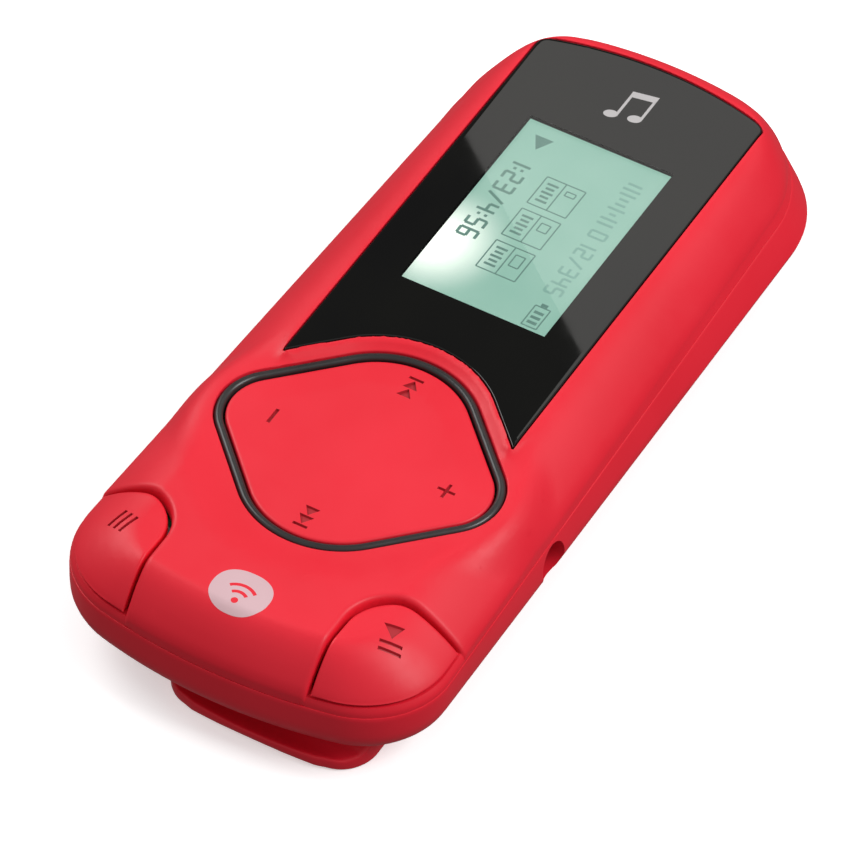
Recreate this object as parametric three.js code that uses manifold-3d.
// Clip-on digital audio player: two-part shell, display, rocker pad, corner buttons, sprung belt clip
// and the electronics inside. Millimetres, +Z out of the display face, +Y towards the display end.
// The origin is under the middle of the case, on the flat back of the clip.
import * as THREE from 'three';
import { mergeVertices } from 'three/addons/utils/BufferGeometryUtils.js';
import Module from 'manifold-3d';

const wasm = await Module();
wasm.setup();

// ---- case in plan: long end arcs, corner arcs, and sides that draw in towards the display end
const HALF_WIDTH = 18.1;
const HALF_LENGTH = 44.4;
const SIDE_TAPER = 0.0021;
const CASE = { halfWidth: HALF_WIDTH, halfLength: HALF_LENGTH, topCornerR: 12, topEndR: 50, cornerR: 9.1, endR: 52.5,
  taper: SIDE_TAPER };
// the flat part of the face, inside the sloping shoulders
const FLAT = { halfWidth: 12.5, halfLength: 40.3, topCornerR: 4, topEndR: 46, cornerR: 4.5, endR: 48, taper: 0 };

// ---- case levels
const FACE_Z = 14;
const CEILING_Z = 12.2;
const SHOULDER_FOOT_Z = 9.25;
const SHOULDER_EDGE_RISE = 0.45;
const SHOULDER_POWER = 1.6;
const PARTING_Z = 8.5;
const FLOOR_Z = 4.2;
const BACK_Z = 3.2;
const WALL = 1.3;
const SIDE_LEAN = 1.25;
const END_LEAN = 0.6;
const TAPER_LEAN = 0.85;
const LEAN_HEIGHT = 3.6;
const SHELL_GAP = 0.05;

// ---- display
const LCD_Y = 15.6;
const LCD_OPENING = { halfX: 8.4, halfY: 13.1 };
const WINDOW_HALF_WIDTH = 12.3;
const WINDOW_TOP_Y = 40.1;
const WINDOW_CORNER_DROP = 2;
const WINDOW_BOTTOM_Y = -10.7;
const WINDOW_THICKNESS = 0.8;
const WINDOW_RECESS = 1;

// ---- rocker pad
const PAD_Y = -17.7;
const PAD_TOP_Z = 13.2;
const PAD_PIVOT_Z = 11.4;
const RING_TOP_Z = 13.4;
const RING_SEAT_Z = 12.1;
const WELL_DIAGONAL = 17.2;
const WELL_TIP_R = 9.9;
const WELL_SIDE_R = 5.8;
const RING_WIDTH = 1;
const PAD_RING_GAP = 0.22;
const ARCH_MARGIN = 1.3;
const KEY_RADIUS = 9.4;

// ---- corner buttons
const BUTTON_INNER_X = 9.5;
const BUTTON_TOP_Y = -31.7;
const BUTTON_CORNER_R = 5;
const BUTTON_GAP = 0.45;
const BUTTON_SINK = 0.2;
const BUTTON_SKIN = 1.2;
const BUTTON_LEDGE_Z = 9.5;
const BUTTON_SKIRT_Z = 9.85;

// ---- switches and board
const BOARD_Z = 9.6;
const BOARD_TOP_Z = 10.4;
const BOARD_TOP_Y = -1;
const BOARD_BOTTOM_Y = -36.4;
const BOARD_INSET = 4;
const SWITCH_SIZE = 3.2;
const SWITCH_HEIGHT = 0.4;
const PLUNGER_R = 0.6;
const PLUNGER_Z = 10.7;
const PLUNGER_TOP_Z = 11.1;
const KEY_FOOT_Z = 11.15;

const SWITCHES = {
  previous: [0, PAD_Y + KEY_RADIUS],
  next: [0, PAD_Y - KEY_RADIUS],
  volume_up: [KEY_RADIUS, PAD_Y],
  volume_down: [-KEY_RADIUS, PAD_Y],
  menu: [-12.3, -34.6],
  play: [12.3, -34.6],
};

// ---- sockets in the side walls
const SOCKET_Y = -14.9;
const SOCKET_WALL_X = HALF_WIDTH * (1 - SIDE_TAPER * SOCKET_Y);
const JACK_Z = 6.15;
const JACK_HOLE_R = 2.05;
const JACK_BORE_R = 1.8;
const USB_Z = 6.9;

// ---- battery
const BATTERY_THICKNESS = 5;

// ---- screws
const SCREW_PLACES = [[-11.6, 36], [11.6, 36], [-5.5, -39.2], [5.5, -39.2]];
const SCREW_HEAD_R = 1.3;
const SCREW_SHAFT_R = 0.7;
const SCREW_HOLE_R = 0.8;

// ---- belt clip
const CLIP_X = 3.8;
const CLIP_HALF_WIDTH = 10.7;
const CLIP_THICKNESS = 1.5;
const CLIP_TIP_Y = -43.8;
const HINGE_Y = 17;
const HINGE_Z = 1.65;
const HINGE_BARREL_R = 1.45;
const HINGE_PIN_R = 0.5;
const BARREL_HALF_WIDTH = 7;
const LUG_WIDTH = 2;
const LUG_GAP = 0.3;

// ---- solids
function solid(geometry) {
  const bare = geometry.index ? geometry.clone() : geometry;
  bare.deleteAttribute('normal');
  bare.deleteAttribute('uv');
  const merged = mergeVertices(bare, 1e-4);
  return new wasm.Manifold(new wasm.Mesh({
    numProp: 3,
    vertProperties: new Float32Array(merged.attributes.position.array),
    triVerts: new Uint32Array(merged.index.array),
  }));
}

function box(x0, x1, y0, y1, z0, z1) {
  const geometry = new THREE.BoxGeometry(x1 - x0, y1 - y0, z1 - z0);
  geometry.translate((x0 + x1) / 2, (y0 + y1) / 2, (z0 + z1) / 2);
  return solid(geometry);
}

function block(x, y, z, width, depth, height) {
  return box(x - width / 2, x + width / 2, y - depth / 2, y + depth / 2, z, z + height);
}

function post(x, y, z0, z1, radius, sides = 20) {
  const geometry = new THREE.CylinderGeometry(radius, radius, z1 - z0, sides);
  geometry.rotateX(Math.PI / 2);
  geometry.translate(x, y, (z0 + z1) / 2);
  return solid(geometry);
}

function rodX(x0, x1, y, z, radius, sides = 20) {
  const geometry = new THREE.CylinderGeometry(radius, radius, x1 - x0, sides);
  geometry.rotateZ(Math.PI / 2);
  geometry.translate((x0 + x1) / 2, y, z);
  return solid(geometry);
}

function prism(points, z0, z1) {
  const geometry = new THREE.ExtrudeGeometry(new THREE.Shape(points), { depth: z1 - z0, bevelEnabled: false });
  geometry.translate(0, 0, z0);
  return solid(geometry);
}

// A side profile of [y, z] points, drawn out along X.
function profileX(points, x0, x1) {
  const shape = new THREE.Shape(points.map(([y, z]) => new THREE.Vector2(y, z)));
  const geometry = new THREE.ExtrudeGeometry(shape, { depth: x1 - x0, bevelEnabled: false });
  geometry.rotateZ(Math.PI / 2);
  geometry.rotateY(Math.PI / 2);
  geometry.translate(x0, 0, 0);
  return solid(geometry);
}

function wire(points, radius, steps) {
  const curve = new THREE.CatmullRomCurve3(points);
  const section = new THREE.Shape();
  section.absarc(0, 0, radius, 0, 2 * Math.PI);
  const options = { extrudePath: curve, steps, curveSegments: 4, bevelEnabled: false };
  return solid(new THREE.ExtrudeGeometry(section, options));
}

function union(first, ...others) {
  return others.reduce((sum, other) => sum.add(other), first);
}

function cut(first, ...others) {
  return others.reduce((rest, other) => rest.subtract(other), first);
}

// ---- outlines
function arc(cx, cy, radius, from, to, steps) {
  const points = [];
  for (let i = 0; i <= steps; i += 1) {
    const angle = from + (to - from) * i / steps;
    points.push(new THREE.Vector2(cx + radius * Math.cos(angle), cy + radius * Math.sin(angle)));
  }
  return points;
}

// A plan outline moved in by the inset: two long end arcs, four corner arcs and two sides.
function outline(plan, inset) {
  const end = (endR, cornerR) => {
    const cornerX = plan.halfWidth - cornerR;
    const reach = Math.sqrt((endR - cornerR) ** 2 - cornerX ** 2);
    const endY = plan.halfLength - endR;
    return { endR, cornerR, cornerX, endY, cornerY: endY + reach, angle: Math.atan2(reach, cornerX) };
  };
  const half = (e) => [
    ...arc(e.cornerX, e.cornerY, e.cornerR - inset, 0, e.angle, 7).slice(0, -1),
    ...arc(0, e.endY, e.endR - inset, e.angle, Math.PI - e.angle, 8).slice(0, -1),
    ...arc(-e.cornerX, e.cornerY, e.cornerR - inset, Math.PI - e.angle, Math.PI, 7),
  ];
  const top = half(end(plan.topEndR, plan.topCornerR));
  const bottom = half(end(plan.endR, plan.cornerR)).map((p) => new THREE.Vector2(-p.x, -p.y));
  return [...top, ...bottom].map((p) => new THREE.Vector2(p.x * (1 - plan.taper * p.y), p.y));
}

// A square stood on its corner, with large arcs at the upper and lower tips and smaller ones at the sides.
function diamond(inset) {
  const diagonal = WELL_DIAGONAL - inset * Math.SQRT2;
  const tipR = WELL_TIP_R - inset;
  const sideR = WELL_SIDE_R - inset;
  const quarter = Math.PI / 4;
  const tipY = diagonal - tipR * Math.SQRT2;
  const sideX = diagonal - sideR * Math.SQRT2;
  return [
    ...arc(sideX, PAD_Y, sideR, -quarter, quarter, 6),
    ...arc(0, PAD_Y + tipY, tipR, quarter, 3 * quarter, 8),
    ...arc(-sideX, PAD_Y, sideR, 3 * quarter, 5 * quarter, 6),
    ...arc(0, PAD_Y - tipY, tipR, 5 * quarter, 7 * quarter, 8),
  ];
}

// The window: straight sides and a bowed top edge.
function windowOutline(inset) {
  const halfWidth = WINDOW_HALF_WIDTH - inset;
  const bowR = (WINDOW_HALF_WIDTH ** 2 + WINDOW_CORNER_DROP ** 2) / (2 * WINDOW_CORNER_DROP);
  const bowAngle = Math.asin(halfWidth / (bowR - inset));
  const right = Math.PI / 2 - bowAngle;
  return [
    new THREE.Vector2(-halfWidth, WINDOW_BOTTOM_Y + inset),
    new THREE.Vector2(halfWidth, WINDOW_BOTTOM_Y + inset),
    ...arc(0, WINDOW_TOP_Y - bowR, bowR - inset, right, Math.PI - right, 10),
  ];
}

// A corner button in plan: one rounded inner corner, running out past the case on the other two sides.
function buttonOutline(inset, side) {
  const innerX = BUTTON_INNER_X + inset;
  const topY = BUTTON_TOP_Y - inset;
  const radius = BUTTON_CORNER_R - inset;
  const outside = HALF_WIDTH + 5;
  const below = -HALF_LENGTH - 5;
  const points = [
    new THREE.Vector2(innerX, below),
    new THREE.Vector2(outside, below),
    new THREE.Vector2(outside, topY),
    ...arc(innerX + radius, topY - radius, radius, Math.PI / 2, Math.PI, 6),
  ];
  return side > 0 ? points : points.map((p) => new THREE.Vector2(-p.x, p.y)).reverse();
}

// The case in plan at one height: below the shoulders the walls lean out to a more even width.
function caseAt(z, inset) {
  const lean = Math.min(Math.max((SHOULDER_FOOT_Z - z) / LEAN_HEIGHT, 0), 1);
  const plan = { ...CASE, halfWidth: HALF_WIDTH + SIDE_LEAN * lean, halfLength: HALF_LENGTH + END_LEAN * lean,
    taper: SIDE_TAPER * (1 - TAPER_LEAN * lean) };
  return outline(plan, inset);
}

// A stack of outlines with one height each, bottom first, closed with a flat cap at each end.
function stack(rings) {
  const count = rings[0].points.length;
  const positions = [];
  const index = [];
  rings.forEach(({ z, points }) => points.forEach((p) => positions.push(p.x, p.y, z)));
  for (let level = 0; level < rings.length - 1; level += 1) {
    for (let i = 0; i < count; i += 1) {
      const a = level * count + i;
      const b = level * count + (i + 1) % count;
      index.push(a, b, b + count, a, b + count, a + count);
    }
  }
  const last = (rings.length - 1) * count;
  const low = rings.length * count;
  positions.push(0, 0, rings[0].z, 0, 0, rings[rings.length - 1].z);
  for (let i = 0; i < count; i += 1) {
    const next = (i + 1) % count;
    index.push(low, next, i, low + 1, last + i, last + next);
  }
  const geometry = new THREE.BufferGeometry();
  geometry.setAttribute('position', new THREE.Float32BufferAttribute(positions, 3));
  geometry.setIndex(index);
  return solid(geometry);
}

function loft(levels) {
  return stack(levels.map(([z, inset]) => ({ z, points: caseAt(z, inset) })));
}

// The upper surface: a small edge radius, then shoulders that slope up and ease into the flat face.
function crown(sink, inset = 0) {
  const outer = outline(CASE, inset);
  const flat = outline(FLAT, 0);
  const foot = SHOULDER_FOOT_Z - sink;
  const skirt = PARTING_Z + SHELL_GAP - sink;
  const rings = [{ z: skirt, points: caseAt(skirt + sink, inset) }, { z: foot, points: outer }];
  [0.02, 0.07, 0.14, 0.28, 0.45, 0.65, 0.85, 1].forEach((share) => {
    const edge = Math.sqrt(1 - (1 - Math.min(share / 0.14, 1)) ** 2);
    const slope = 1 - (1 - share) ** SHOULDER_POWER;
    const rise = SHOULDER_EDGE_RISE * edge + (FACE_Z - SHOULDER_FOOT_Z - SHOULDER_EDGE_RISE) * slope;
    rings.push({ z: foot + rise, points: outer.map((p, i) => p.clone().lerp(flat[i], share)) });
  });
  return stack(rings);
}

// ---- case
function frontShell() {
  const roof = loft([[0, WALL + 1.6], [CEILING_Z, WALL + 1.6]]);
  const inside = crown(WALL + 0.3, WALL).intersect(roof).add(loft([[PARTING_Z - 1, WALL], [SHOULDER_FOOT_Z, WALL]]));
  const bosses = SCREW_PLACES.map(([x, y]) => post(x, y, PARTING_Z - 1.9, CEILING_Z - 0.2, 1.8));
  const holes = SCREW_PLACES.map(([x, y]) => post(x, y, 0, PARTING_Z + 1.6, SCREW_HOLE_R, 12));
  const arch = prism(diamond(-ARCH_MARGIN), FACE_Z - WINDOW_RECESS - 1, FACE_Z + 1);
  const recess = cut(prism(windowOutline(-0.1), FACE_Z - WINDOW_RECESS, FACE_Z + 1), arch);
  const lightWell = block(0, LCD_Y, CEILING_Z - 1, 2 * LCD_OPENING.halfX, 2 * LCD_OPENING.halfY, 3);
  const well = prism(diamond(0), RING_SEAT_Z, FACE_Z + 1);
  const wellFloor = prism(diamond(0.6), BOARD_Z, FACE_Z);
  const openings = [1, -1].map((side) => prism(buttonOutline(0, side), BUTTON_LEDGE_Z, FACE_Z + 1));
  const shell = cut(crown(0), inside, recess, lightWell, well, wellFloor, ...openings);
  return cut(union(shell, ...bosses), ...holes);
}

function rearShell() {
  const outside = loft([[BACK_Z, 3.6], [BACK_Z + 0.15, 2.7], [BACK_Z + 0.6, 1.3], [BACK_Z + 1.3, 0.6],
    [BACK_Z + 2.4, 0.2], [BACK_Z + 3.6, 0.08], [PARTING_Z, 0]]);
  const inside = loft([[FLOOR_Z, 2.5], [FLOOR_Z + 0.8, 1.9], [FLOOR_Z + 2, 1.6], [PARTING_Z + 1, WALL]]);
  const bosses = SCREW_PLACES.map(([x, y]) => post(x, y, FLOOR_Z - 0.2, PARTING_Z - 2, 2.2));
  const heads = SCREW_PLACES.map(([x, y]) => post(x, y, 0, FLOOR_Z + 0.1, SCREW_HEAD_R + 0.15, 16));
  const holes = SCREW_PLACES.map(([x, y]) => post(x, y, 0, PARTING_Z, SCREW_HOLE_R, 12));
  const jackHole = rodX(SOCKET_WALL_X - 4, SOCKET_WALL_X + 2, SOCKET_Y, JACK_Z, JACK_HOLE_R, 24);
  const usbHole = block(-SOCKET_WALL_X, SOCKET_Y, USB_Z - 1.3, 8, 8, 2.6);
  const shell = union(cut(outside, inside), ...bosses, ...hingeLugs());
  return cut(shell, ...heads, ...holes, jackHole, usbHole, pinHole());
}

function hingeLugs() {
  return [-1, 1].map((side) => {
    const near = CLIP_X + side * (BARREL_HALF_WIDTH + LUG_GAP);
    const far = near + side * LUG_WIDTH;
    const [x0, x1] = [Math.min(near, far), Math.max(near, far)];
    const knuckle = rodX(x0, x1, HINGE_Y, HINGE_Z, HINGE_BARREL_R);
    return union(knuckle, box(x0, x1, HINGE_Y - HINGE_BARREL_R, HINGE_Y + HINGE_BARREL_R, HINGE_Z, BACK_Z + 0.4));
  });
}

function pinHole() {
  const reach = BARREL_HALF_WIDTH + LUG_GAP + LUG_WIDTH + 1;
  return rodX(CLIP_X - reach, CLIP_X + reach, HINGE_Y, HINGE_Z, HINGE_PIN_R + 0.08, 24);
}

function screw(x, y) {
  const head = post(x, y, BACK_Z + 0.15, FLOOR_Z, SCREW_HEAD_R, 16);
  return union(head, post(x, y, FLOOR_Z - 0.2, PARTING_Z + 1, SCREW_SHAFT_R, 10));
}

// ---- display
function displayWindow() {
  const arch = prism(diamond(-ARCH_MARGIN - 0.1), 0, FACE_Z + 1);
  return cut(crown(0).intersect(prism(windowOutline(0), FACE_Z - WINDOW_THICKNESS, FACE_Z + 1)), arch);
}

function windowAdhesive() {
  const z0 = FACE_Z - WINDOW_RECESS + 0.03;
  const z1 = FACE_Z - WINDOW_THICKNESS - 0.03;
  const arch = prism(diamond(-ARCH_MARGIN - 0.6), 0, FACE_Z + 1);
  const opening = block(0, LCD_Y, 0, 2 * LCD_OPENING.halfX, 2 * LCD_OPENING.halfY, FACE_Z);
  return cut(prism(windowOutline(0.5), z0, z1), arch, opening);
}

function lcdFrame() {
  return cut(block(0, LCD_Y, CEILING_Z - 2.05, 21.2, 30.8, 2), block(0, LCD_Y, 8, 19.4, 28.4, 6));
}

function lcdGlass() {
  return block(0, LCD_Y, CEILING_Z - 1.1, 19, 28, 1);
}

function lcdBacklight() {
  return block(0, LCD_Y, CEILING_Z - 2, 19, 28, 0.8);
}

// A folded strip from the glass down to its connector on the board.
function lcdFlex() {
  const y = LCD_Y - 15.5;
  const z = BOARD_TOP_Z + 0.1;
  return profileX([[y, z + 1], [y, z + 1.15], [y - 1.2, z + 1.15], [y - 2.6, z + 0.3], [y - 4.4, z + 0.3], [y - 4.4, z],
    [y - 2.8, z], [y - 1.4, z + 1]], -5, 5);
}

// ---- rocker pad
function padRing() {
  return cut(prism(diamond(0.07), RING_SEAT_Z + 0.03, RING_TOP_Z), prism(diamond(RING_WIDTH), 0, FACE_Z + 1));
}

function navigationPad() {
  const plate = prism(diamond(RING_WIDTH + PAD_RING_GAP), PAD_TOP_Z - 1.3, PAD_TOP_Z);
  const feet = keyPlaces().map(([x, y]) => post(x, y, KEY_FOOT_Z, PAD_TOP_Z - 0.5, 0.9, 12));
  return union(plate, ...feet);
}

function padGimbal() {
  return cut(post(0, PAD_Y, PAD_PIVOT_Z - 0.3, PAD_PIVOT_Z + 0.15, 2.6), post(0, PAD_Y, 9, PAD_PIVOT_Z - 0.1, 1.3));
}

function padPost() {
  return post(0, PAD_Y, BOARD_TOP_Z + 0.01, PAD_PIVOT_Z - 0.2, 1);
}

function keyPlaces() {
  return [[0, PAD_Y + KEY_RADIUS], [0, PAD_Y - KEY_RADIUS], [KEY_RADIUS, PAD_Y], [-KEY_RADIUS, PAD_Y]];
}

// ---- corner buttons
function cornerButton(side) {
  const region = prism(buttonOutline(BUTTON_GAP, side), BUTTON_SKIRT_Z, FACE_Z + 1);
  const [, y] = SWITCHES.play;
  const foot = post(side * SWITCHES.play[0], y, KEY_FOOT_Z, FACE_Z - 1, 0.9, 12);
  return union(cut(crown(BUTTON_SINK).intersect(region), crown(BUTTON_SINK + BUTTON_SKIN, WALL + 0.2)), foot);
}

// ---- board
function mainBoard() {
  const plate = loft([[BOARD_Z, BOARD_INSET], [BOARD_TOP_Z, BOARD_INSET]]);
  const region = box(-HALF_WIDTH, HALF_WIDTH, BOARD_BOTTOM_Y, BOARD_TOP_Y, 0, FACE_Z);
  return plate.intersect(region);
}

function switchBody(x, y) {
  return cut(block(x, y, BOARD_TOP_Z + 0.01, SWITCH_SIZE, SWITCH_SIZE, SWITCH_HEIGHT), post(x, y, 9, 11, 0.75, 12));
}

function plunger(x, y) {
  return post(x, y, PLUNGER_Z, PLUNGER_TOP_Z, PLUNGER_R, 12);
}

function chip(x, y, width, depth, height) {
  return block(x, y, BOARD_Z - 0.01 - height, width, depth, height);
}

function headphoneJack() {
  const body = box(6, SOCKET_WALL_X - 3.3, SOCKET_Y - 3, SOCKET_Y + 3, FLOOR_Z + 0.05, BOARD_Z - 0.05);
  return cut(body, rodX(7, SOCKET_WALL_X, SOCKET_Y, JACK_Z, JACK_BORE_R, 20));
}

function jackContact() {
  const z = JACK_Z + 0.2;
  return profileX([[SOCKET_Y - 0.3, z], [SOCKET_Y + 0.3, z], [SOCKET_Y + 0.3, z + 0.3], [SOCKET_Y - 0.3, z + 0.3]], 7.5, 9);
}

function usbSocket() {
  const mouth = -SOCKET_WALL_X + 1.7;
  const body = box(mouth, mouth + 5.2, SOCKET_Y - 3.75, SOCKET_Y + 3.75, USB_Z - 1.25, USB_Z + 1.25);
  return cut(body, box(mouth - 1, mouth + 4.7, SOCKET_Y - 3.45, SOCKET_Y + 3.45, USB_Z - 0.95, USB_Z + 0.95));
}

function usbTongue() {
  const mouth = -SOCKET_WALL_X + 2.1;
  return box(mouth, mouth + 4.2, SOCKET_Y - 1.8, SOCKET_Y + 1.8, USB_Z - 0.1, USB_Z + 0.5);
}

// ---- battery
function batteryCell() {
  return block(0, LCD_Y + 0.8, FLOOR_Z + 0.1, 21, 29, BATTERY_THICKNESS);
}

function batteryPad() {
  return block(0, LCD_Y + 0.8, FLOOR_Z + BATTERY_THICKNESS + 0.15, 16, 22, 0.5);
}

function protectionBoard() {
  return block(0, LCD_Y - 15, FLOOR_Z + 1, 12, 1, 2.4);
}

function batteryLead(x) {
  const start = LCD_Y - 15.8;
  return wire([new THREE.Vector3(x, start, 7), new THREE.Vector3(x, start - 1, 7.1),
    new THREE.Vector3(x, start - 2.4, 8.1), new THREE.Vector3(x, start - 2.8, 9.2)], 0.35, 8);
}

// ---- belt clip
function clipOutline() {
  const x0 = CLIP_X - CLIP_HALF_WIDTH;
  const x1 = CLIP_X + CLIP_HALF_WIDTH;
  const cornerR = 4.2;
  const sag = 1.5;
  const bowR = (CLIP_HALF_WIDTH ** 2 + sag ** 2) / (2 * sag);
  const bowAngle = Math.asin((CLIP_HALF_WIDTH - cornerR) / bowR);
  const down = -Math.PI / 2;
  const cornerY = CLIP_TIP_Y + sag + cornerR - 0.7;
  const topY = HINGE_Y - 3.4;
  return [
    new THREE.Vector2(x1, topY),
    new THREE.Vector2(CLIP_X + BARREL_HALF_WIDTH, HINGE_Y),
    new THREE.Vector2(CLIP_X - BARREL_HALF_WIDTH, HINGE_Y),
    new THREE.Vector2(x0, topY),
    ...arc(x0 + cornerR, cornerY, cornerR, Math.PI, Math.PI - down * 0.85, 5),
    ...arc(CLIP_X, CLIP_TIP_Y + bowR, bowR, down - bowAngle, down + bowAngle, 6),
    ...arc(x1 - cornerR, cornerY, cornerR, down * 0.85, 0, 5),
  ];
}

// The arm in side view: a flat plate, a gripping ridge that meets the case, and a scooped finger lip.
function clipProfile() {
  const t = CLIP_THICKNESS;
  const tip = CLIP_TIP_Y;
  return [[HINGE_Y, 0.2], [HINGE_Y - 3, 0], [tip + 2.2, 0], [tip + 0.7, 0.25], [tip, 0.9], [tip, 1.75], [tip + 0.6, 1.6],
    [tip + 1.8, 1.35], [tip + 3, 1.6], [tip + 4, 2.3], [tip + 4.8, 3], [tip + 5.8, 3.05], [tip + 6.8, 2.2],
    [tip + 8, t], [HINGE_Y - 3, t], [HINGE_Y, t + 0.9]];
}

function beltClip() {
  const reach = CLIP_HALF_WIDTH + 1;
  const arm = profileX(clipProfile(), CLIP_X - reach, CLIP_X + reach).intersect(prism(clipOutline(), -1, FACE_Z));
  const barrel = rodX(CLIP_X - BARREL_HALF_WIDTH, CLIP_X + BARREL_HALF_WIDTH, HINGE_Y, HINGE_Z, HINGE_BARREL_R);
  const springBay = box(CLIP_X - 2.4, CLIP_X + 2.4, HINGE_Y - 2.6, HINGE_Y + 2, -1, FACE_Z);
  const legSlot = box(CLIP_X - 2.4, CLIP_X - 0.9, HINGE_Y - 8, HINGE_Y - 2, -1, 0.95);
  const lugRoom = [-1, 1].map((side) => {
    const x = CLIP_X + side * (BARREL_HALF_WIDTH + LUG_GAP + LUG_WIDTH / 2);
    return block(x, HINGE_Y + 1, -1, LUG_WIDTH + 2 * LUG_GAP, 2 * HINGE_BARREL_R + 3, FACE_Z);
  });
  return cut(union(arm, barrel), springBay, legSlot, ...lugRoom, pinHole());
}

function clipPin() {
  const reach = BARREL_HALF_WIDTH + LUG_GAP + LUG_WIDTH - 0.1;
  return rodX(CLIP_X - reach, CLIP_X + reach, HINGE_Y, HINGE_Z, HINGE_PIN_R);
}

// A torsion spring round the pin, one leg in the slot of the clip and one along the back of the case.
function clipSpring() {
  const coilR = 0.9;
  const wireR = 0.2;
  const turns = 3.5;
  const perTurn = 8;
  const steps = turns * perTurn;
  const points = [new THREE.Vector3(CLIP_X - 1.7, HINGE_Y - 6.5, 0.6), new THREE.Vector3(CLIP_X - 1.7, HINGE_Y - 3, 0.7)];
  for (let i = 0; i <= steps; i += 1) {
    const angle = -Math.PI / 2 + 2 * Math.PI * i / perTurn;
    const x = CLIP_X - 1.7 + 3.4 * i / steps;
    points.push(new THREE.Vector3(x, HINGE_Y + coilR * Math.cos(angle), HINGE_Z + coilR * Math.sin(angle)));
  }
  points.push(new THREE.Vector3(CLIP_X + 1.8, HINGE_Y - 3, 2.6), new THREE.Vector3(CLIP_X + 1.8, HINGE_Y - 5.5, 2.65));
  return wire(points, wireR, 150);
}

// ---- materials
function finish(color, roughness, metalness = 0) {
  return new THREE.MeshStandardMaterial({ color, roughness, metalness });
}

const RED = finish(0xd8283c, 0.45);
const BLACK_GLOSS = finish(0x0b0b0c, 0.08);
const BLACK = finish(0x1a1a1c, 0.4);
const GLASS = finish(0x9fbfae, 0.2);
const WHITE = finish(0xe8ebe6, 0.6);
const BOARD = finish(0x14593a, 0.5);
const CHIP = finish(0x1c1d1f, 0.6);
const STEEL = finish(0xb9bcc0, 0.3, 1);
const FLEX = finish(0xb06a1c, 0.4);
const SILVER = finish(0xc9cbcd, 0.35, 0.8);

const player = new THREE.Group();

function add(name, manifold, material) {
  const mesh = manifold.getMesh();
  const geometry = new THREE.BufferGeometry();
  geometry.setAttribute('position', new THREE.BufferAttribute(new Float32Array(mesh.vertProperties), 3));
  geometry.setIndex(new THREE.BufferAttribute(new Uint32Array(mesh.triVerts), 1));
  geometry.computeVertexNormals();
  const piece = new THREE.Mesh(geometry, material);
  piece.name = name;
  player.add(piece);
}

add('front_shell', frontShell(), RED);
add('rear_shell', rearShell(), RED);
add('display_window', displayWindow(), BLACK_GLOSS);
add('window_adhesive', windowAdhesive(), BLACK);
add('lcd_frame', lcdFrame(), WHITE);
add('lcd_glass', lcdGlass(), GLASS);
add('lcd_backlight', lcdBacklight(), WHITE);
add('lcd_flex', lcdFlex(), FLEX);
add('pad_ring', padRing(), BLACK_GLOSS);
add('navigation_pad', navigationPad(), RED);
add('pad_gimbal', padGimbal(), BLACK);
add('pad_post', padPost(), STEEL);
add('menu_button', cornerButton(-1), RED);
add('play_button', cornerButton(1), RED);
add('main_board', mainBoard(), BOARD);

Object.entries(SWITCHES).forEach(([name, [x, y]]) => {
  add(`${name}_switch`, switchBody(x, y), STEEL);
  add(`${name}_plunger`, plunger(x, y), BLACK);
});

const CHIPS = {
  processor_chip: [-6, -25, 7, 7, 0.9],
  flash_chip: [4.5, -26, 9, 6.5, 0.9],
  radio_module: [-4.5, -6, 9, 8, 1.4],
  power_chip: [-4, -15.5, 4, 4, 0.8],
  crystal_oscillator: [-12, -25, 3.2, 2.5, 0.8],
  power_inductor: [12.2, -24.5, 3.4, 3.4, 1.4],
  tantalum_capacitor: [11.5, -30, 3.4, 2, 1.5],
  chip_antenna: [9, -5.5, 7, 2, 1],
};
Object.entries(CHIPS).forEach(([name, size]) => add(name, chip(...size), name === 'radio_module' ? SILVER : CHIP));

add('headphone_jack', headphoneJack(), BLACK);
add('jack_contact', jackContact(), STEEL);
add('usb_socket', usbSocket(), STEEL);
add('usb_tongue', usbTongue(), BLACK);
add('battery_cell', batteryCell(), SILVER);
add('battery_pad', batteryPad(), WHITE);
add('battery_protection_board', protectionBoard(), BOARD);
add('battery_lead_positive', batteryLead(3), finish(0xb3261e, 0.5));
add('battery_lead_negative', batteryLead(4.6), BLACK);
SCREW_PLACES.forEach(([x, y], i) => add(`case_screw_${i + 1}`, screw(x, y), STEEL));
add('belt_clip', beltClip(), RED);
add('clip_pin', clipPin(), STEEL);
add('clip_spring', clipSpring(), STEEL);

export default player;
